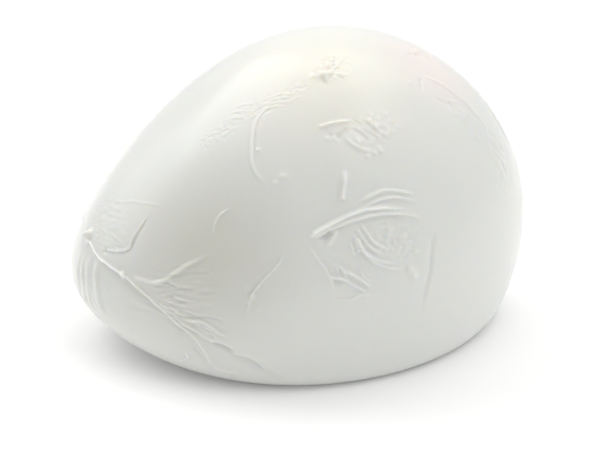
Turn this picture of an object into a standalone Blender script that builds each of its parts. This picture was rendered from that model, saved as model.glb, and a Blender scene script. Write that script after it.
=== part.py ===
# A ball of fresh mozzarella, torn off by hand and lying on its side: an egg-shaped body with a
# blunt end towards +X and the pinched tail tucked under the narrow end towards -X.
# Units are metres with +Z up. The ball rests on the flat that its own weight presses into it.
import math

import bmesh
import bpy
import numpy as np

MM = 0.001

# Egg-shaped body, mm
HALF_LENGTH = 47.0
HALF_WIDTH = 38.5
HALF_HEIGHT = 38.5
WIDTH_TAPER = 0.06       # how much wider the blunt end is than the narrow end
WIDTH_POINTING = 0.085   # how much both ends narrow beyond an ellipsoid's
HEIGHT_TAPER = 0.24      # the same two, for the height
HEIGHT_POINTING = 0.19
NOSE_DROP_DEG = 7.6      # the narrow end hangs lower than the blunt end
CORE_HEIGHT = 21.4       # height of the body's centre before the weight flattens it
FLOOR_SOFTNESS = 9.3     # how high above the floor the body starts to slump

# Tail lobe, tucked under the front of the narrow end
LOBE_SWELL = 5.0
LOBE_SPREAD = 0.31
LOBE_STATION = (-27, -33)

# Mesh
BASE_SUBDIVISIONS = 5
FINE_BANDS = (3.2, 1.3)  # distance from a fold, mm, within which each pass halves the faces
SNAP_BAND = 0.32         # points this near a fold's line, mm, are moved onto it

# Folds of the skin. A path is a few (longitude, latitude) stations in degrees, with longitude 0
# at the front and growing towards the blunt end. The left of a path is the upper side of its
# fold. Sizes are in mm: lip is the height of the rolled edge and lip_width its half width,
# drop is how far the skin on the right of the path lies below it, and spread how soon it recovers.
FOLDS = (
    # the seam where the tail was pinched off, with the body's skin lying over the tail
    dict(
        path=((-92, 23), (-74, 18), (-61, 14), (-49, 5), (-40, -5), (-37, -16), (-33, -26)),
        lip=0.5, lip_width=0.8, drop=1.2, spread=4.5, fade=0.12,
    ),
    # the second flap, between the seam and the body
    dict(
        path=((-44, 0), (-34, -7), (-26, -12), (-23, -18), (-21, -26)),
        lip=0.25, lip_width=0.8, drop=0.7, spread=4.0, fade=0.25,
    ),
    # the torn window in the front: its rolled upper lip, and the two sides of the opening
    dict(
        path=((-11, 21), (-5, 23), (6, 23), (17, 19), (21, 13)),
        lip=1.0, lip_width=0.9, drop=1.1, spread=5.5, fade=0.1,
    ),
    dict(
        path=((21, 13), (19, 6), (17, -2), (14, -9)),
        lip=0.15, lip_width=0.8, drop=0.5, spread=3.5, fade=0.25,
    ),
    dict(
        path=((-6, -4), (-6, 4), (-8, 13), (-11, 21)),
        lip=0.2, lip_width=0.8, drop=0.5, spread=3.0, fade=0.2,
    ),
    # raised folds of thin skin: below the nose, and the long wrinkle over the shoulder
    dict(
        path=((-59, 15), (-50, 12), (-44, 16), (-34, 22)),
        lip=0.6, lip_width=0.7, drop=0.0, spread=1.0, fade=0.25,
    ),
    dict(
        path=((-21, 61), (-27, 56), (-26, 48), (-20, 37)),
        lip=0.5, lip_width=0.7, drop=0.0, spread=1.0, fade=0.25,
    ),
    # the short ridge over the window
    dict(
        path=((2, 36), (1, 32), (-1, 28)),
        lip=0.6, lip_width=0.7, drop=0.0, spread=1.0, fade=0.3,
    ),
)
FOLD_FREE_HEIGHT = 4.0   # folds die out within this height above the floor


def directions(stations):
    """Unit vectors of (longitude, latitude) stations in degrees."""
    lon, lat = np.radians(np.asarray(stations, float)).T
    return np.stack(
        [np.sin(lon) * np.cos(lat), -np.cos(lon) * np.cos(lat), np.sin(lat)], axis=1
    )


def egg(unit):
    """The smooth body, in mm, for unit vectors from its centre."""
    x, y, z = unit.T
    body = np.stack(
        [
            HALF_LENGTH * x,
            HALF_WIDTH * y * (1 + WIDTH_TAPER * x - WIDTH_POINTING * x * x),
            HALF_HEIGHT * z * (1 + HEIGHT_TAPER * x - HEIGHT_POINTING * x * x),
        ],
        axis=1,
    )
    lobe = directions([LOBE_STATION])[0]
    swell = LOBE_SWELL * np.exp(-(1 - unit @ lobe) / LOBE_SPREAD)
    body += swell[:, None] * lobe
    turn = math.radians(NOSE_DROP_DEG)
    along = math.cos(turn) * body[:, 0] - math.sin(turn) * body[:, 2]
    height = math.sin(turn) * body[:, 0] + math.cos(turn) * body[:, 2] + CORE_HEIGHT
    return np.stack([along, body[:, 1], slump(height)], axis=1)


def slump(height):
    """Heights after the body settles on the floor: a flat foot with a soft turn at its rim."""
    rounded = (height + FLOOR_SOFTNESS) ** 2 / (4 * FLOOR_SOFTNESS)
    return np.where(
        height < -FLOOR_SOFTNESS, 0.0, np.where(height > FLOOR_SOFTNESS, height, rounded)
    )


def egg_normals(unit):
    """Outward normals of the smooth body."""
    helper = np.where(np.abs(unit[:, 2:]) < 0.9, [[0.0, 0.0, 1.0]], [[1.0, 0.0, 0.0]])
    first = np.cross(unit, helper)
    first /= np.linalg.norm(first, axis=1, keepdims=True)
    second = np.cross(unit, first)
    step = 0.01
    across = egg(unit + step * first) - egg(unit - step * first)
    along = egg(unit + step * second) - egg(unit - step * second)
    normal = np.cross(across, along)
    return normal / np.maximum(np.linalg.norm(normal, axis=1, keepdims=True), 1e-9)


def smooth_path(stations, pieces=8):
    """A Catmull-Rom curve through the stations, as unit vectors."""
    knots = np.asarray(stations, float)
    knots = np.vstack([2 * knots[0] - knots[1], knots, 2 * knots[-1] - knots[-2]])
    curve = []
    for a, b, c, d in zip(knots, knots[1:], knots[2:], knots[3:]):
        for t in np.arange(pieces) / pieces:
            curve.append(
                0.5 * (2 * b + (c - a) * t + (2 * a - 5 * b + 4 * c - d) * t**2
                       + (3 * b - a - 3 * c + d) * t**3)
            )
    curve.append(knots[-2])
    return directions(curve)


def offsets(points, normals, stations):
    """Signed distance of each point from a path on the body, positive on its left, and how far
    along the path its nearest point is, from 0 to 1."""
    path = egg(smooth_path(stations))
    best = np.full(len(points), 1e9)
    side = np.zeros(len(points))
    along = np.zeros(len(points))
    count = len(path) - 1
    for i, (start, end) in enumerate(zip(path, path[1:])):
        line = end - start
        t = np.clip((points - start) @ line / (line @ line), 0, 1)
        away = points - (start + t[:, None] * line)
        distance = np.linalg.norm(away, axis=1)
        nearer = distance < best
        left = np.einsum("ij,ij->i", np.cross(normals, line), away)
        best = np.where(nearer, distance, best)
        side = np.where(nearer, np.where(left < 0, -1.0, 1.0), side)
        along = np.where(nearer, (i + t) / count, along)
    return best * side, along


def ease(value):
    value = np.clip(value, 0, 1)
    return value * value * (3 - 2 * value)


def fold_height(signed, along, fold):
    """Height of one fold above the smooth body: a rolled lip, and the lower skin beside it."""
    strength = ease(along / fold["fade"]) * ease((1 - along) / fold["fade"])
    lip = fold["lip"] * np.exp(-((signed / fold["lip_width"]) ** 2))
    under = ease(-signed / fold["lip_width"]) * np.exp(np.minimum(signed, 0) / fold["spread"])
    return strength * (lip - fold["drop"] * under)


def folded_body(unit):
    """The body with its folds, in mm."""
    points = egg(unit)
    normals = egg_normals(unit)
    height = np.zeros(len(points))
    for fold in FOLDS:
        signed, along = offsets(points, normals, fold["path"])
        height += fold_height(signed, along, fold)
    height *= ease(points[:, 2] / FOLD_FREE_HEIGHT)
    return points + height[:, None] * normals


def unit_of(bm):
    unit = np.array([vert.co[:] for vert in bm.verts])
    return unit / np.linalg.norm(unit, axis=1, keepdims=True)


def refine(bm):
    """Halves the faces near the folds, once for each band."""
    for band in FINE_BANDS:
        unit = unit_of(bm)
        points = egg(unit)
        normals = egg_normals(unit)
        nearest = np.min(
            [np.abs(offsets(points, normals, fold["path"])[0]) for fold in FOLDS], axis=0
        )
        close = (nearest < band) & (points[:, 2] > 0.5)
        bm.verts.ensure_lookup_table()
        edges = [e for e in bm.edges if close[e.verts[0].index] or close[e.verts[1].index]]
        bmesh.ops.subdivide_edges(bm, edges=edges, cuts=1, use_grid_fill=True)
        bmesh.ops.triangulate(bm, faces=bm.faces[:])
        bm.verts.index_update()
        for vert in bm.verts:
            vert.co.normalize()
    snap(bm)


def snap(bm):
    """Moves the points beside each fold onto its line, so that the fold's edge is clean."""
    for fold in FOLDS:
        unit = unit_of(bm)
        signed, along = offsets(egg(unit), egg_normals(unit), fold["path"])
        line = smooth_path(fold["path"])
        place = along * (len(line) - 1)
        lower = np.minimum(place.astype(int), len(line) - 2)
        part = (place - lower)[:, None]
        target = (1 - part) * line[lower] + part * line[lower + 1]
        for vert in bm.verts:
            if abs(signed[vert.index]) < SNAP_BAND and 0 < along[vert.index] < 1:
                vert.co = target[vert.index]
                vert.co.normalize()


def flatten_foot(bm):
    """Joins the faces that lie on the floor into one flat face."""
    foot = [f for f in bm.faces if all(v.co.z < 1e-7 for v in f.verts)]
    bmesh.ops.dissolve_faces(bm, faces=foot, use_verts=True)


def cheese():
    """Fresh curd: porcelain white, wet and a little translucent."""
    material = bpy.data.materials.new("fresh_mozzarella")
    material.use_nodes = True
    shader = material.node_tree.nodes["Principled BSDF"]
    shader.inputs["Base Color"].default_value = (0.86, 0.86, 0.81, 1.0)
    shader.inputs["Roughness"].default_value = 0.32
    shader.inputs["IOR"].default_value = 1.38
    shader.inputs["Subsurface Weight"].default_value = 0.3
    shader.inputs["Subsurface Radius"].default_value = (0.004, 0.0035, 0.003)
    shader.inputs["Subsurface Scale"].default_value = 1.0
    material.diffuse_color = (0.86, 0.86, 0.81, 1.0)
    return material


def build():
    for obj in list(bpy.data.objects):
        bpy.data.objects.remove(obj, do_unlink=True)
    home = bpy.data.collections.new("mozzarella")
    bpy.context.scene.collection.children.link(home)

    bm = bmesh.new()
    bmesh.ops.create_icosphere(bm, subdivisions=BASE_SUBDIVISIONS, radius=1.0)
    refine(bm)
    points = folded_body(unit_of(bm))
    middle = (points.min(axis=0) + points.max(axis=0)) / 2
    points[:, :2] -= middle[:2]
    points[:, 2] = np.maximum(points[:, 2], 0)
    bm.verts.ensure_lookup_table()
    for vert, place in zip(bm.verts, points * MM):
        vert.co = place
    flatten_foot(bm)
    bmesh.ops.recalc_face_normals(bm, faces=bm.faces[:])
    for face in bm.faces:
        face.smooth = True

    mesh = bpy.data.meshes.new("mozzarella_ball")
    bm.to_mesh(mesh)
    bm.free()
    ball = bpy.data.objects.new("mozzarella_ball", mesh)
    ball.data.materials.append(cheese())
    home.objects.link(ball)


build()
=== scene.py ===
import math

import bmesh
import bpy
import numpy as np
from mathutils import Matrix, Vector, noise


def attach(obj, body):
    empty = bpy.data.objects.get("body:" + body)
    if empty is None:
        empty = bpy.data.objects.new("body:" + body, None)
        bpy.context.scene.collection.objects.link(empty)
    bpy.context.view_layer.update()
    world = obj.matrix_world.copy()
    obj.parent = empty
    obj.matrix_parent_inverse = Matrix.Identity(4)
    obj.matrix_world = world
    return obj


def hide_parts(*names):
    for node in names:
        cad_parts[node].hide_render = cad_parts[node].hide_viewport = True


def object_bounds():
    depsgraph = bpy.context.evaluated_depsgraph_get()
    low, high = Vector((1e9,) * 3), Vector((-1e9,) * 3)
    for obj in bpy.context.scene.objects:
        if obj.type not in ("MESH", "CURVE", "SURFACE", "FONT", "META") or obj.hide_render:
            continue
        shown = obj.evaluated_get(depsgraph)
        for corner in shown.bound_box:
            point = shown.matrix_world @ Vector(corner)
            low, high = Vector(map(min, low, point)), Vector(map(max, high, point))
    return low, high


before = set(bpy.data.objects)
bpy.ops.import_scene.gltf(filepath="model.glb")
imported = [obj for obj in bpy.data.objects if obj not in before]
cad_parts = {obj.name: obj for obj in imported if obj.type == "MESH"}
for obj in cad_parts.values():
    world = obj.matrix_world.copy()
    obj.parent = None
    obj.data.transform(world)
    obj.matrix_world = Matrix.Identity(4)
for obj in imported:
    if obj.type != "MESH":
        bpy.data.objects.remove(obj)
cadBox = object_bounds()
mm = 0.001
print("solid part loaded")


# Camera

view = {
    "aim": (1.4, 0.8, 19.3),  # mm, a little below the middle of the ball
    "azimuth": -18.0,  # degrees round from the long side, towards the narrow end
    "elevation": 20.0,
    "distance": 450.0,  # mm
    "lens": 129.5,
}


def placeCamera(view):
    turn, rise = math.radians(view["azimuth"]), math.radians(view["elevation"])
    away = Vector((math.sin(turn) * math.cos(rise), -math.cos(turn) * math.cos(rise), math.sin(rise)))
    data = bpy.data.cameras.new("camera")
    data.lens = view["lens"]
    data.clip_start = 0.01
    camera = bpy.data.objects.new("camera", data)
    camera.location = (Vector(view["aim"]) + away * view["distance"]) * mm
    camera.rotation_euler = away.to_track_quat("Z", "Y").to_euler()
    bpy.context.collection.objects.link(camera)
    bpy.context.scene.camera = camera
    bpy.context.scene.view_settings.view_transform = "Standard"


placeCamera(view)
print("camera placed")


# The smooth body. Directions on it are (longitude, latitude) in degrees from its middle, with
# longitude 0 at the front and growing towards the blunt end. Lengths are in mm.

boxLength, boxWidth, boxHeight = [(top - bottom) / mm for bottom, top in zip(*cadBox)]

body = {
    "halfLength": 0.505 * boxLength,
    "halfWidth": 0.5 * boxWidth,
    "halfHeight": 0.63 * boxHeight,  # as round as it was before its own weight flattened it
    "coreHeight": 0.313 * boxHeight,
    "widthTaper": 0.02,  # the blunt end is this much wider, and the narrow end less wide
    "widthPointing": 0.16,  # both ends narrow beyond an ellipsoid's
    "heightTaper": 0.24,
    "heightPointing": 0.2,
    "noseDrop": 6.7,  # degrees that the narrow end hangs down
    "floorSoftness": 4.5,  # how high above the table it starts to slump
    "tailLift": 12.0,  # and how much higher than that under the narrow end
    "lobeSwell": 5.7,  # the tail, tucked under the front of the narrow end
    "lobeSpread": 0.3,
    "lobeAt": (-33, -35),
}


def unitVectors(places):
    lon, lat = np.radians(np.asarray(places, float)[:, :2]).T
    return np.stack([np.sin(lon) * np.cos(lat), -np.cos(lon) * np.cos(lat), np.sin(lat)], axis=1)


def slumped(height, x):
    soft = body["floorSoftness"] + body["tailLift"] * ((1 - x) / 2) ** 3
    rounded = (height + soft) ** 2 / (4 * soft)
    return np.where(height < -soft, 0.0, np.where(height > soft, height, rounded))


def smoothBody(unit):
    x, y, z = unit.T
    points = np.stack(
        [
            body["halfLength"] * x,
            body["halfWidth"] * y * (1 + body["widthTaper"] * x - body["widthPointing"] * x * x),
            body["halfHeight"] * z * (1 + body["heightTaper"] * x - body["heightPointing"] * x * x),
        ],
        axis=1,
    )
    lobe = unitVectors([body["lobeAt"]])[0]
    swell = body["lobeSwell"] * np.exp(-(1 - unit @ lobe) / body["lobeSpread"])
    points += swell[:, None] * lobe
    turn = math.radians(body["noseDrop"])
    along = math.cos(turn) * points[:, 0] - math.sin(turn) * points[:, 2]
    height = math.sin(turn) * points[:, 0] + math.cos(turn) * points[:, 2] + body["coreHeight"]
    return np.stack([along, points[:, 1], slumped(height, x)], axis=1)


def smoothNormals(unit):
    helper = np.where(np.abs(unit[:, 2:]) < 0.9, [[0.0, 0.0, 1.0]], [[1.0, 0.0, 0.0]])
    first = np.cross(unit, helper)
    first /= np.linalg.norm(first, axis=1, keepdims=True)
    second = np.cross(unit, first)
    step = 0.005
    across = smoothBody(unit + step * first) - smoothBody(unit - step * first)
    along = smoothBody(unit + step * second) - smoothBody(unit - step * second)
    normals = np.cross(across, along)
    return normals / np.maximum(np.linalg.norm(normals, axis=1, keepdims=True), 1e-9)


# Folds of the skin. Each runs through a few listed (longitude, latitude) points, and the
# left of its run is the upper side. lip is the height of the rolled edge, width its half width,
# drop how far the skin on the right lies below, spread how soon that recovers, and lean how far
# the lip hangs over to the right. ends is the share of the run over which it fades in and out,
# fine how often the mesh is halved along it, and repeats how many times it stands, each a step on.

plainFold = {"width": 0.26, "drop": 0.0, "spread": 1.0, "lean": 0.0, "ends": (0.25, 0.25), "fine": 3, "repeats": 1}

folds = {
    # the seam where the tail was pinched off: the body's skin lies over the tail
    "tailSeam": {
        "through": (
            (-150, 6), (-120, 19), (-92, 23), (-74, 18), (-61, 14), (-55, 10),
            (-49, 5), (-40, -5), (-37.5, -11), (-37, -16), (-34, -20),
        ),
        "lip": 0.26, "width": 0.22, "drop": 0.34, "spread": 2.2, "lean": 0.16, "ends": (0.3, 0.08), "fine": 4,
    },
    "seamCrest": {"through": ((-37, -17), (-34, -19), (-31, -19)), "lip": 0.3, "width": 0.5, "fine": 2},
    # the second flap, its open mouth, and the wrinkles that run into it
    "secondFlap": {
        "through": ((-44, 0.5), (-39, -3), (-34, -7), (-30, -10), (-26, -12), (-23, -18)),
        "lip": 0.16, "width": 0.36, "drop": 0.42, "spread": 2.2, "lean": 0.12, "ends": (0.1, 0.2),
    },
    "flapValley": {
        "through": ((-32, -9), (-28, -12), (-25, -15), (-22.5, -20), (-21, -26)),
        "lip": -0.45, "width": 1.1, "ends": (0.35, 0.15), "fine": 2,
    },
    "flapMouth": {"through": ((-35.5, -6), (-33, -7.5), (-30, -10)), "lip": -0.75, "width": 0.4},
    "seamPocket": {"through": ((-41, -8), (-39, -13), (-39, -18)), "lip": -0.18, "width": 0.5},
    "featherEdge": {"through": ((-46, 3), (-41, 1.5), (-36, 2), (-33, 1), (-30, 0)), "lip": -0.15, "width": 0.24},
    "featherRoll": {"through": ((-42, 0.5), (-37, 0.5), (-34, -2), (-31, -5)), "lip": 0.3, "width": 0.34},
    "fanLine": {"through": ((-49, 6), (-46, 4.5), (-42, 4)), "lip": 0.2, "repeats": 3, "step": (2, 1.5)},
    "tailPucker": {"through": ((-43, -11), (-43, -15), (-47, -19)), "lip": 0.36, "width": 0.32},
    # thin raised folds between the nose and the middle
    "noseFold": {
        "through": ((-59, 15), (-50, 12.5), (-44.5, 16), (-41, 18.5), (-34, 22)),
        "lip": 0.32, "width": 0.4, "drop": 0.2, "spread": 0.9, "ends": (0.2, 0.3),
    },
    "noseFork": {"through": ((-48, 13), (-45, 12), (-43, 11)), "lip": -0.16, "width": 0.24},
    "noseArc": {"through": ((-35, 26), (-35, 29), (-34, 32), (-31, 34)), "lip": 0.22},
    "noseFlap": {
        "through": ((-75, 21), (-66, 22), (-62, 23.5), (-62, 26), (-61, 30), (-59, 35)),
        "lip": 0.16, "drop": 0.46, "spread": 0.7, "lean": 0.08,
    },
    "noseLine": {"through": ((-85, 36), (-69, 38), (-54, 37)), "lip": 0.07},
    # the long wrinkle over the shoulder
    "shoulderWrinkle": {
        "through": ((-21, 61), (-24, 60.5), (-26.5, 58), (-27, 54), (-26.5, 49), (-24.5, 43), (-20, 37)),
        "lip": 0.24, "width": 0.34, "drop": 0.1, "ends": (0.12, 0.25),
    },
    "shoulderGroove": {
        "through": ((-19, 61.5), (-24, 60), (-26, 57), (-26, 52), (-25, 45)),
        "lip": -0.18, "width": 0.26, "ends": (0.15, 0.4),
    },
    "shoulderFurrows": {
        "through": ((-24, 61.5), (-18, 61.5), (-12, 60)),
        "lip": 0.08, "repeats": 4, "step": (1.2, 1.3), "fine": 2,
    },
    "sideFurrows": {
        "through": ((-46, 61), (-40, 61.5), (-32, 60.5)),
        "lip": 0.07, "repeats": 3, "step": (1.5, 2), "fine": 2,
    },
    "bellyLine": {
        "through": ((-17, 20), (-18, 16), (-22, 12), (-25, 7.5), (-27, 1)),
        "lip": 0.2, "drop": 0.12, "spread": 1.2,
    },
    # the torn window: its rolled double lip, and what shows inside it
    "windowLip": {
        "through": ((-11, 21), (-5, 23), (0.5, 24), (6, 23.5), (11, 22), (17, 19)),
        "lip": 0.7, "width": 0.42, "drop": 0.05, "spread": 1.2, "lean": 0.2, "ends": (0.08, 0.4), "fine": 4,
    },
    "windowUnderlip": {
        "through": ((-10, 20.5), (-3, 22), (5, 22), (11, 20.5), (16, 18), (20, 14)),
        "lip": 0.38, "width": 0.48, "drop": 0.36, "spread": 2.6, "lean": 0.15, "ends": (0.12, 0.45), "fine": 4,
    },
    "windowRecess": {
        "through": ((-9, 20), (-7, 19.8), (-5, 21.5)),
        "lip": -0.5, "width": 0.85, "ends": (0.5, 0.15),
    },
    "recessEdge": {
        "through": ((-3.6, 21.5), (-4.2, 20), (-5.5, 18.5), (-6.7, 17.5)),
        "lip": 0.4, "width": 0.42,
    },
    "lipRoll": {
        "through": ((3, 26.5), (9, 27), (14, 25.5), (19, 22.5)),
        "lip": 0.32, "width": 0.32, "drop": 0.12, "repeats": 2, "step": (0, -2),
    },
    "windowLeft": {"through": ((-6, 4), (-7, 10), (-9, 14.5), (-11, 20)), "lip": 0.2, "drop": 0.2, "spread": 3.5},
    "windowRight": {
        "through": ((21.5, 13), (19.5, 7), (18, 1.5), (16, -4), (14, -9)),
        "lip": -0.34, "width": 0.5, "drop": 0.16, "spread": 3.5,
    },
    "windowFibre": {
        "through": ((1.2, 20), (2, 17.5), (3, 15), (4.5, 13), (7, 10.5)),
        "lip": 0.34, "width": 0.28, "ends": (0.12, 0.3), "repeats": 2, "step": (1.3, 0.8),
    },
    "longFibre": {
        "through": ((0, 19), (1, 15.5), (2.5, 12.5), (5, 10), (8, 8), (11, 7)),
        "lip": 0.36, "width": 0.3, "ends": (0.12, 0.35), "repeats": 2, "step": (0.6, -1.5),
    },
    "shortFibre": {
        "through": ((-1, 17), (-0.8, 15), (-0.2, 13)),
        "lip": 0.34, "width": 0.28, "repeats": 3, "step": (1.1, 0.3),
    },
    "windowPatch": {"through": ((12, 6), (13, 4), (14, 1)), "lip": 0.42, "width": 0.8, "fine": 2},
    "lowerFold": {
        "through": ((-6, 12), (-4, 11), (-3, 9.5), (-1, 8), (1, 5.5), (2.5, 3.5)),
        "lip": 0.32, "width": 0.34, "drop": 0.12, "ends": (0.2, 0.2),
    },
    "longLowerFold": {
        "through": ((-7.5, 9), (-5, 8.5), (-3.5, 7.5), (-2, 6), (0, 4), (1, 2)),
        "lip": 0.3, "width": 0.3, "drop": 0.14, "ends": (0.2, 0.2),
    },
    "lowerFoldSide": {"through": ((0, 9), (1, 7), (3, 5)), "lip": 0.2, "width": 0.3},
    "lowerFoldTail": {"through": ((-6, 3), (-3, 2), (0, 2.5), (2.5, 1.5)), "lip": 0.18},
    # the short ridge over the window
    "shortRidge": {"through": ((2, 36), (1.5, 34), (0.5, 31), (-1, 28)), "lip": 0.62, "width": 0.55, "ends": (0.4, 0.08)},
    # the small tear near the top: a lifted flap, the hollow under it, and a streak
    "topFlap": {
        "through": ((-2, 50), (3, 50), (7, 49), (11, 48)),
        "lip": 0.34, "width": 0.3, "lean": 0.1, "ends": (0.1, 0.4), "fine": 4,
    },
    "topHollow": {"through": ((-1, 48), (2, 46), (5, 46), (8.5, 47)), "lip": -0.2, "width": 0.45},
    "topValley": {"through": ((8, 46.5), (11, 43), (13, 40)), "lip": -0.12, "width": 0.4},
    "topStreak": {"through": ((5, 45), (7, 41.5), (9, 39.5), (12, 37.5)), "lip": 0.24, "width": 0.42},
    "crownCrease": {"through": ((9.5, 70), (9.5, 67), (9.5, 64), (10, 61.5)), "lip": -0.2, "width": 0.36},
    # the edge of a second skin that runs down the blunt end, and the shallow groove beyond it
    "skinEdge": {
        "through": ((52, 50), (55, 46), (57, 40), (58, 33), (58, 25)),
        "lip": 0.3, "width": 0.42, "drop": -0.14, "spread": 2.0,
    },
    "skinGroove": {"through": ((86, 42), (79, 37), (74, 29), (71, 21), (70, 14)), "lip": -0.24, "width": 0.6},
    "skinCrease": {"through": ((45, 43.5), (47, 41), (51, 38)), "lip": -0.16, "width": 0.4},
    "skinNick": {"through": ((50, 50), (46, 48), (43, 46)), "lip": -0.22, "width": 0.32},
    # gathers of the tail's skin below the nose
    "gather": {
        "through": ((-75, 17), (-73, 10), (-71, 0), (-69, -10)),
        "lip": 0.42, "width": 0.8, "fine": 2,
    },
    "smallGather": {
        "through": ((-80, 17), (-78, 10), (-76, 0), (-76, -10)),
        "lip": 0.2, "width": 0.4, "fine": 2, "repeats": 3, "step": (-4, 0),
    },
    # quieter wrinkles round the back, where the skin was drawn towards the tail
    "backSeam": {
        "through": ((172, 38), (150, 31), (130, 30), (108, 37)),
        "lip": 0.16, "width": 0.32, "drop": 0.12, "spread": 2.0,
    },
    "backWrinkle": {"through": ((-164, 44), (-151, 31), (-144, 12)), "lip": 0.14, "width": 0.32},
    "backLine": {"through": ((178, 17), (160, 13), (142, 19)), "lip": 0.1, "width": 0.3, "repeats": 2, "step": (-8, -7)},
    "rearFold": {"through": ((92, 8), (110, 15), (131, 8)), "lip": 0.14, "width": 0.32, "drop": 0.1},
    "backTuck": {"through": ((-122, 2), (-127, 9), (-128, 17)), "lip": 0.12, "width": 0.35},
}

# Small beads and pits. Each is count spots scattered within spread mm of its place, size across.

beads = {
    "seamTip": {"at": (-86, 23.5), "count": 2, "spread": 0.5, "size": 0.9, "height": 0.75},
    "seamBead": {"at": (-61, 14), "count": 1, "spread": 0.0, "size": 0.6, "height": 0.55},
    "nosePit": {"at": (-72, 21), "count": 1, "spread": 0.0, "size": 0.5, "height": -0.22},
    "shoulderBead": {"at": (-24, 49), "count": 1, "spread": 0.0, "size": 0.4, "height": 0.24},
    "shoulderEnd": {"at": (-16.5, 40), "count": 3, "spread": 1.0, "size": 0.6, "height": 0.16},
    "bellyCrumbs": {"at": (-24, 8), "count": 7, "spread": 2.0, "size": 0.4, "height": 0.12},
    "foldEnd": {"at": (1, 2), "count": 1, "spread": 0.0, "size": 0.9, "height": 0.14},
    "tearBead": {"at": (2.2, 45.5), "count": 1, "spread": 0.0, "size": 0.5, "height": 0.26},
    "tearSideBead": {"at": (0, 46), "count": 1, "spread": 0.0, "size": 0.6, "height": 0.14},
    "tearPit": {"at": (3.6, 45.3), "count": 1, "spread": 0.0, "size": 0.5, "height": -0.18},
    "streakBeads": {"at": (12, 37.5), "count": 4, "spread": 1.8, "size": 0.5, "height": 0.26},
    "tearCrumbs": {"at": (18, 43), "count": 24, "spread": 4.0, "size": 0.6, "height": 0.15},
    "crownBumps": {"at": (16, 67), "count": 9, "spread": 2.6, "size": 0.8, "height": 0.26},
    "crownPits": {"at": (21, 68), "count": 6, "spread": 3.6, "size": 0.6, "height": -0.1},
    "skinFlake": {"at": (72, 55), "count": 4, "spread": 2.2, "size": 0.6, "height": 0.24},
    "skinPits": {"at": (66, 54), "count": 4, "spread": 2.4, "size": 0.5, "height": -0.26},
    "skinBead": {"at": (43, 50), "count": 1, "spread": 0.0, "size": 0.7, "height": 0.1},
    "rearCrumbs": {"at": (112, 40), "count": 8, "spread": 4.0, "size": 0.8, "height": 0.1},
}

# Grained areas: wrinkles along a run, with grain their length, pitch their spacing and depth
# their height. reach is the area's half width, and turn how far the wrinkles lean off the run.

grains = {
    "noseWrinkles": {
        "through": ((-89, 29), (-75, 27), (-61, 23)),
        "reach": 3.2, "grain": 1.8, "pitch": 0.55, "depth": 0.05, "fine": 2,
    },
    "noseStretch": {
        "through": ((-98, 28), (-82, 33), (-66, 34)),
        "reach": 2.2, "grain": 2.2, "pitch": 0.6, "depth": 0.05, "fine": 2,
    },
    "shoulderRipples": {
        "through": ((-54, 64), (-36, 62), (-22, 63), (-8, 64), (2, 66), (12, 67)),
        "reach": 2.3, "grain": 0.8, "pitch": 0.5, "depth": 0.042, "turn": -15, "fine": 3,
    },
    "flankRipples": {
        "through": ((-53, 54), (-44, 57), (-34, 59)),
        "reach": 1.7, "grain": 0.85, "pitch": 0.5, "depth": 0.055, "turn": 25, "fine": 3,
    },
    "crownDimples": {
        "through": ((13, 62), (20, 67), (34, 72)),
        "reach": 2.4, "grain": 0.9, "pitch": 0.7, "depth": 0.16, "fine": 3,
    },
    "tearStriae": {
        "through": ((9, 50), (13, 44), (17, 37)),
        "reach": 1.7, "grain": 1.8, "pitch": 0.5, "depth": 0.06, "fine": 3,
    },
    "windowMottle": {
        "through": ((4, 19), (10, 14), (17, 6)),
        "reach": 3.4, "grain": 1.0, "pitch": 0.8, "depth": 0.15, "fine": 2,
    },
    "windowCrinkle": {
        "through": ((-8, 16), (-4, 10), (-2, 2)),
        "reach": 2.2, "grain": 1.4, "pitch": 0.7, "depth": 0.12, "fine": 2,
    },
    "fanLines": {
        "through": ((-52, 10), (-42, 12), (-31, 12)),
        "reach": 3.6, "grain": 3.0, "pitch": 0.6, "depth": 0.12, "fine": 2,
    },
    "fanWrinkles": {
        "through": ((-60, 11), (-50, 8), (-38, 3)),
        "reach": 4.5, "grain": 6.0, "pitch": 0.9, "depth": 0.1, "fine": 2,
    },
    "flapWrinkles": {
        "through": ((-49, 4), (-40, 0), (-31, -5)),
        "reach": 2.0, "grain": 2.4, "pitch": 0.6, "depth": 0.16, "fine": 3,
    },
    "skinMottle": {
        "through": ((52, 42), (50, 34), (47, 24)),
        "reach": 3.0, "grain": 1.4, "pitch": 0.8, "depth": 0.13, "fine": 2,
    },
    "sideMottle": {
        "through": ((57, 28), (57, 18), (54, 6)),
        "reach": 3.5, "grain": 1.2, "pitch": 1.0, "depth": 0.12, "fine": 2,
    },
    "tailGathers": {
        "through": ((-79, 18), (-73, 5), (-70, -12)),
        "reach": 5.5, "grain": 14.0, "pitch": 1.1, "depth": 0.11, "fine": 2,
    },
    "backGathers": {
        "through": ((-100, 34), (-134, 24), (-170, 14)),
        "reach": 4.0, "grain": 9.0, "pitch": 1.3, "depth": 0.07, "fine": 1,
    },
    "rearDimples": {
        "through": ((96, 46), (114, 40), (132, 40)),
        "reach": 3.0, "grain": 1.6, "pitch": 1.1, "depth": 0.1, "fine": 2,
    },
}

meshDetail = {
    "subdivisions": 6,  # an icosphere with edges of about 1.6 mm
    "reaches": (4.0, 1.7, 0.7, 0.35),  # mm from a fold within which each halving is made
    "foldFreeHeight": 4.0,  # mm above the table over which folds die out
    "unevenness": 0.35,  # share by which a fold's height comes and goes along it
    "wander": 0.12,  # mm that a fold strays to each side
    "wanderLength": 2.5,  # mm from one stray to the next
}


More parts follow.
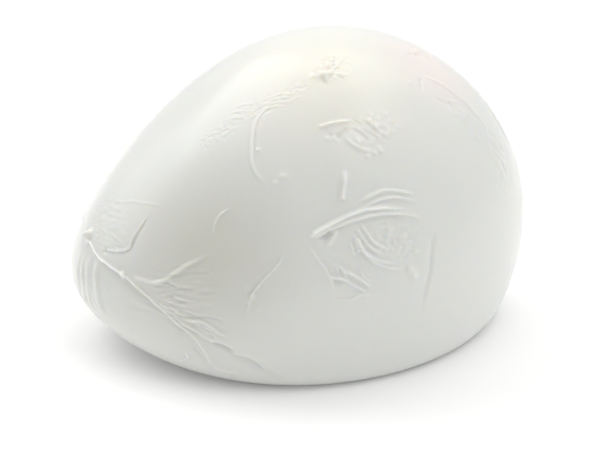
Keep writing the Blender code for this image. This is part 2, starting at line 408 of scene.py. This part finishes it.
def curveThrough(stations, pieces=6):
    knots = np.asarray(stations, float)
    knots = np.vstack([2 * knots[0] - knots[1], knots, 2 * knots[-1] - knots[-2]])
    t = (np.arange(pieces) / pieces)[:, None]
    parts = []
    for a, b, c, d in zip(knots, knots[1:], knots[2:], knots[3:]):
        bend = 2 * a - 5 * b + 4 * c - d
        twist = 3 * b - a - 3 * c + d
        parts.append(0.5 * (2 * b + (c - a) * t + bend * t**2 + twist * t**3))
    return np.vstack(parts + [knots[-2:-1]])


def follow(points, normals, run, reach):
    # which points are near a run, their signed distance from it, and how far along it they are
    line = smoothBody(unitVectors(curveThrough(run)))
    steps = np.linalg.norm(np.diff(line, axis=0), axis=1)
    starts = np.concatenate([[0], np.cumsum(steps)])
    middle = (line.min(axis=0) + line.max(axis=0)) / 2
    radius = np.linalg.norm(line - middle, axis=1).max() + reach
    near = np.nonzero(np.linalg.norm(points - middle, axis=1) < radius)[0]
    here, up = points[near], normals[near]
    best = np.full(len(near), np.inf)
    side, along = np.ones(len(near)), np.zeros(len(near))
    across = np.zeros((len(near), 3))
    for i, run in enumerate(np.diff(line, axis=0)):
        t = np.clip((here - line[i]) @ run / (run @ run), 0, 1)
        away = here - (line[i] + t[:, None] * run)
        distance = np.linalg.norm(away, axis=1)
        nearer = distance < best
        left = np.einsum("ij,ij->i", np.cross(up, run), away)
        best = np.where(nearer, distance, best)
        side = np.where(nearer, np.where(left < 0, -1.0, 1.0), side)
        along = np.where(nearer, starts[i] + t * steps[i], along)
        across = np.where(nearer[:, None], np.cross(run / steps[i], up), across)
    keep = best < reach
    return near[keep], (best * side)[keep], along[keep], starts[-1], across[keep]


def everyFold():
    for fold in folds.values():
        fold = plainFold | fold
        for i in range(fold["repeats"]):
            step = [i * s for s in fold.get("step", (0, 0))]
            yield fold | {"through": [(lon + step[0], lat + step[1]) for lon, lat in fold["through"]]}


def everyBead():
    chance = np.random.default_rng(7)
    for bead in beads.values():
        middle = unitVectors([bead["at"]])
        for i in range(bead["count"]):
            stray = chance.normal(size=3) * bead["spread"] / body["halfLength"] / 1.5
            unit = middle + stray
            yield unit / np.linalg.norm(unit), bead["size"], bead["height"]


def ease(value):
    value = np.clip(value, 0, 1)
    return value * value * (3 - 2 * value)


def wave(along, length, seed):
    return np.array([noise.noise(Vector((a / length, 5.3 * seed, 0.5))) for a in along])


def fadeEnds(along, length, ends):
    return ease(along / (ends[0] * length)) * ease((length - along) / (ends[1] * length))


def foldedSkin(unit):
    points, normals = smoothBody(unit), smoothNormals(unit)
    height, slide = np.zeros(len(points)), np.zeros((len(points), 3))
    for seed, fold in enumerate(everyFold()):
        reach = max(4 * fold["width"], 4 * fold["spread"] if fold["drop"] else 0)
        near, signed, along, length, across = follow(points, normals, fold["through"], reach)
        signed = signed + meshDetail["wander"] * wave(along, meshDetail["wanderLength"], seed)
        strength = fadeEnds(along, length, fold["ends"])
        strength *= 1 + meshDetail["unevenness"] * wave(along, meshDetail["wanderLength"], seed + 0.5)
        lip = fold["lip"] * np.exp(-((signed / fold["width"]) ** 2))
        under = ease(-signed / fold["width"]) * np.exp(np.minimum(signed, 0) / fold["spread"])
        height[near] += strength * (lip - fold["drop"] * under)
        hang = np.where(signed > 0, fold["width"], 0.45 * fold["width"])
        slide[near] += (strength * fold["lean"] * np.exp(-((signed / hang) ** 2)))[:, None] * across
    for seed, grain in enumerate(grains.values()):
        near, signed, along, length, across = follow(points, normals, grain["through"], 2 * grain["reach"])
        weight = fadeEnds(along, length, (0.25, 0.25)) * np.exp(-((signed / grain["reach"]) ** 2))
        turn = math.radians(grain.get("turn", 0))
        lengthwise = (along * math.cos(turn) - signed * math.sin(turn)) / grain["grain"]
        crosswise = (along * math.sin(turn) + signed * math.cos(turn)) / grain["pitch"]
        ripple = [noise.noise(Vector((a, s, seed * 7.3))) for a, s in zip(lengthwise, crosswise)]
        height[near] += grain["depth"] * weight * 2 * np.array(ripple)
    for place, size, rise in everyBead():
        distance = np.linalg.norm(points - smoothBody(place), axis=1)
        height += rise * np.exp(-((distance / size) ** 2))
    fade = ease(points[:, 2] / meshDetail["foldFreeHeight"])
    return points + (height * fade)[:, None] * normals + slide * fade[:, None]


def unitOf(bm):
    unit = np.array([vert.co[:] for vert in bm.verts])
    return unit / np.linalg.norm(unit, axis=1, keepdims=True)


def refine(bm):
    for level, reach in enumerate(meshDetail["reaches"]):
        unit = unitOf(bm)
        points, normals = smoothBody(unit), smoothNormals(unit)
        close = np.zeros(len(points), bool)
        for fold in everyFold():
            if level < fold["fine"]:
                close[follow(points, normals, fold["through"], reach)[0]] = True
        for grain in grains.values():
            if level < grain["fine"]:
                close[follow(points, normals, grain["through"], 1.3 * grain["reach"])[0]] = True
        for place, size, rise in everyBead():
            if level < 3:
                close |= np.linalg.norm(points - smoothBody(place), axis=1) < 2 * size
        close &= points[:, 2] > 0.5
        edges = [e for e in bm.edges if close[e.verts[0].index] or close[e.verts[1].index]]
        bmesh.ops.subdivide_edges(bm, edges=edges, cuts=1, use_grid_fill=True)
        bmesh.ops.triangulate(bm, faces=[f for f in bm.faces if len(f.verts) > 3])
        bm.verts.index_update()
        for vert in bm.verts:
            vert.co.normalize()
        print("  mesh halved", level + 1, "times:", len(bm.faces), "faces")


def makeBall():
    bm = bmesh.new()
    bmesh.ops.create_icosphere(bm, subdivisions=meshDetail["subdivisions"], radius=1.0)
    refine(bm)
    unit = unitOf(bm)
    smooth = smoothBody(unit)
    points = foldedSkin(unit)
    points[:, :2] -= ((smooth.min(axis=0) + smooth.max(axis=0)) / 2)[:2]
    points[:, 2] = np.maximum(points[:, 2], 0)
    for vert, place in zip(bm.verts, points * mm):
        vert.co = place
    for face in bm.faces:
        face.smooth = True
    mesh = bpy.data.meshes.new("mozzarellaSkin")
    bm.to_mesh(mesh)
    bm.free()
    piece = bpy.data.objects.new("mozzarellaSkin", mesh)
    bpy.context.collection.objects.link(piece)
    return piece


ball = makeBall()
print("skin folded:", len(ball.data.polygons), "faces")


# Materials

def linear(hexColour):
    values = [int(hexColour[i : i + 2], 16) / 255 for i in (1, 3, 5)]
    return [v / 12.92 if v <= 0.04045 else ((v + 0.055) / 1.055) ** 2.4 for v in values] + [1.0]


def addNode(tree, kind, settings=None, **links):
    node = tree.nodes.new(kind)
    for name, value in (settings or {}).items():
        if name in node.inputs:
            node.inputs[name].default_value = value
        else:
            setattr(node, name, value)
    for name, source in links.items():
        tree.links.new(source, node.inputs[name.replace("_", " ")])
    return node


cheese = {
    "curd": "#E4E4E1",
    "cloud": "#DFE1DE",
    "cloudSize": 14.0,  # mm
    "roughness": 0.34,
    "radius": (1.5, 1.3, 1.0),  # mm that light travels inside
    "poreSize": 0.7,  # mm
    "poreDepth": 0.02,
    "patches": {  # place on the ball, how far out it reaches in mm, and its colour
        # painted shade: darker and greyer on the front towards the narrow end, where shade falls
        "paintedShadeFront": ((-38, 22), 24.0, "#D7D7CF"),
        # painted light: the top lighter and warmer where the overhead lamps fall
        "paintedLightCrown": ((20, 70), 30.0, "#EAE8DF"),
        "blush": ((68, 50), 17.0, "#EBE3DF"),
    },
}


def makeCheese(cheese):
    # fresh stretched curd, wet with brine: porcelain white, soft light inside, a broad gentle gloss; patches of
    # painted shade on the front and painted light on the crown
    material = bpy.data.materials.new("stretchedCurd")
    material.use_nodes = True
    tree = material.node_tree
    shader = tree.nodes["Principled BSDF"]
    place = addNode(tree, "ShaderNodeTexCoord").outputs["Object"]
    cloud = addNode(tree, "ShaderNodeTexNoise", {"Scale": 1 / (cheese["cloudSize"] * mm), "Detail": 3.0}, Vector=place)
    tint = addNode(tree, "ShaderNodeMix", {"data_type": "RGBA"})
    tree.links.new(cloud.outputs["Fac"], tint.inputs[0])
    tint.inputs[6].default_value = linear(cheese["curd"])
    tint.inputs[7].default_value = linear(cheese["cloud"])
    # the patches paint shade on the front and light on the crown, beside a pinkish blush
    for at, reach, colour in cheese["patches"].values():
        middle = smoothBody(unitVectors([at]))[0] * mm
        away = addNode(tree, "ShaderNodeVectorMath", {"operation": "DISTANCE"})
        tree.links.new(place, away.inputs[0])
        away.inputs[1].default_value = middle
        share = addNode(
            tree,
            "ShaderNodeMapRange",
            {"interpolation_type": "SMOOTHSTEP", "From Max": reach * mm, "To Min": 1.0, "To Max": 0.0},
            Value=away.outputs["Value"],
        )
        patched = addNode(tree, "ShaderNodeMix", {"data_type": "RGBA"})
        tree.links.new(share.outputs["Result"], patched.inputs[0])
        tree.links.new(tint.outputs[2], patched.inputs[6])
        patched.inputs[7].default_value = linear(colour)
        tint = patched
    tree.links.new(tint.outputs[2], shader.inputs["Base Color"])
    pores = addNode(
        tree, "ShaderNodeTexNoise", {"Scale": 1 / (cheese["poreSize"] * mm), "Detail": 4.0}, Vector=place
    )
    bump = addNode(
        tree, "ShaderNodeBump", {"Strength": 1.0, "Distance": cheese["poreDepth"] * mm}, Height=pores.outputs["Fac"]
    )
    tree.links.new(bump.outputs["Normal"], shader.inputs["Normal"])
    shader.inputs["Roughness"].default_value = cheese["roughness"]
    shader.inputs["IOR"].default_value = 1.4
    shader.inputs["Subsurface Weight"].default_value = 1.0
    shader.inputs["Subsurface Radius"].default_value = [r * mm for r in cheese["radius"]]
    shader.inputs["Subsurface Scale"].default_value = 1.0
    shader.inputs["Coat Weight"].default_value = 0.4
    shader.inputs["Coat Roughness"].default_value = 0.16
    shader.inputs["Coat IOR"].default_value = 1.33
    return material


ball.data.materials.append(makeCheese(cheese))
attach(ball, "root")
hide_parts("mozzarella_ball")
print("cheese finished")


# Table and light

studio = {
    "tableSize": 8.0,
    "tableColour": "#FBFBFB",
    "tableGlow": 0.06,  # the table is a sheet of acrylic, lit a little from below
    "clothGlow": 0.45,  # the white cloth between the panels
    "distance": 0.6,  # m from the ball to each panel of the light tent
    "keyLight": (-152, 48, 0.45, 0.35, 1.15),  # azimuth, elevation, width, height, watts
    "roofLight": (180, 85, 0.4, 0.28, 0.2),
    "rimLight": (-135, 25, 0.4, 0.28, 0.4),  # behind the narrow end
    "backdrop": (160, 10, 1.2, 0.3, 0.3),  # a lit white sheet far behind, that the outline mirrors
    "highTint": "#FFFEFA",  # the lamps overhead are a little warm, and the sides of the tent cool
    "lowTint": "#FBFEFF",
    "highFrom": 45,  # degrees up from which a lamp counts as overhead
    "panelSize": (0.4, 0.28),
    "rings": {  # elevation: panels, watts of each on average, brightest azimuth, how much brighter
        62: (4, 0.4, 85, 1.0),
        35: (8, 0.09, 85, 1.0),
        12: (8, 0.04, 60, 0.4),
    },
}


def makeTable(studio):
    bpy.ops.mesh.primitive_plane_add(size=studio["tableSize"])
    table = bpy.context.object
    table.name = "table"
    material = bpy.data.materials.new("litAcrylic")
    material.use_nodes = True
    shader = material.node_tree.nodes["Principled BSDF"]
    shader.inputs["Base Color"].default_value = linear(studio["tableColour"])
    shader.inputs["Roughness"].default_value = 0.6
    shader.inputs["Emission Color"].default_value = linear("#FFFFFF")
    shader.inputs["Emission Strength"].default_value = studio["tableGlow"]
    table.data.materials.append(material)


def hangLight(name, azimuth, elevation, width, height, power):
    turn, rise = math.radians(azimuth), math.radians(elevation)
    away = Vector((math.sin(turn) * math.cos(rise), -math.cos(turn) * math.cos(rise), math.sin(rise)))
    data = bpy.data.lights.new(name, "AREA")
    data.shape = "RECTANGLE"
    data.size, data.size_y = width, height
    data.energy = power
    data.color = linear(studio["highTint" if elevation > studio["highFrom"] else "lowTint"])[:3]
    light = bpy.data.objects.new(name, data)
    light.location = Vector((0, 0, 0.03)) + away * studio["distance"]
    light.rotation_euler = away.to_track_quat("Z", "Y").to_euler()
    bpy.context.collection.objects.link(light)


def hangTent(studio):
    hangLight("keyLight", *studio["keyLight"])
    hangLight("roofLight", *studio["roofLight"])
    hangLight("rimLight", *studio["rimLight"])
    hangLight("backdrop", *studio["backdrop"])
    for elevation, (count, watts, brightest, share) in studio["rings"].items():
        for i in range(count):
            azimuth = 360 * (i + 0.5) / count - 180
            power = watts * (1 + share * math.cos(math.radians(azimuth - brightest)))
            hangLight(f"panel_{elevation}_{i}", azimuth, elevation, *studio["panelSize"], power)
    world = bpy.data.worlds.new("world")
    bpy.context.scene.world = world
    world.use_nodes = True
    world.node_tree.nodes["Background"].inputs["Color"].default_value = linear("#FFFFFF")
    world.node_tree.nodes["Background"].inputs["Strength"].default_value = studio["clothGlow"]


makeTable(studio)
hangTent(studio)
print("table and light set")
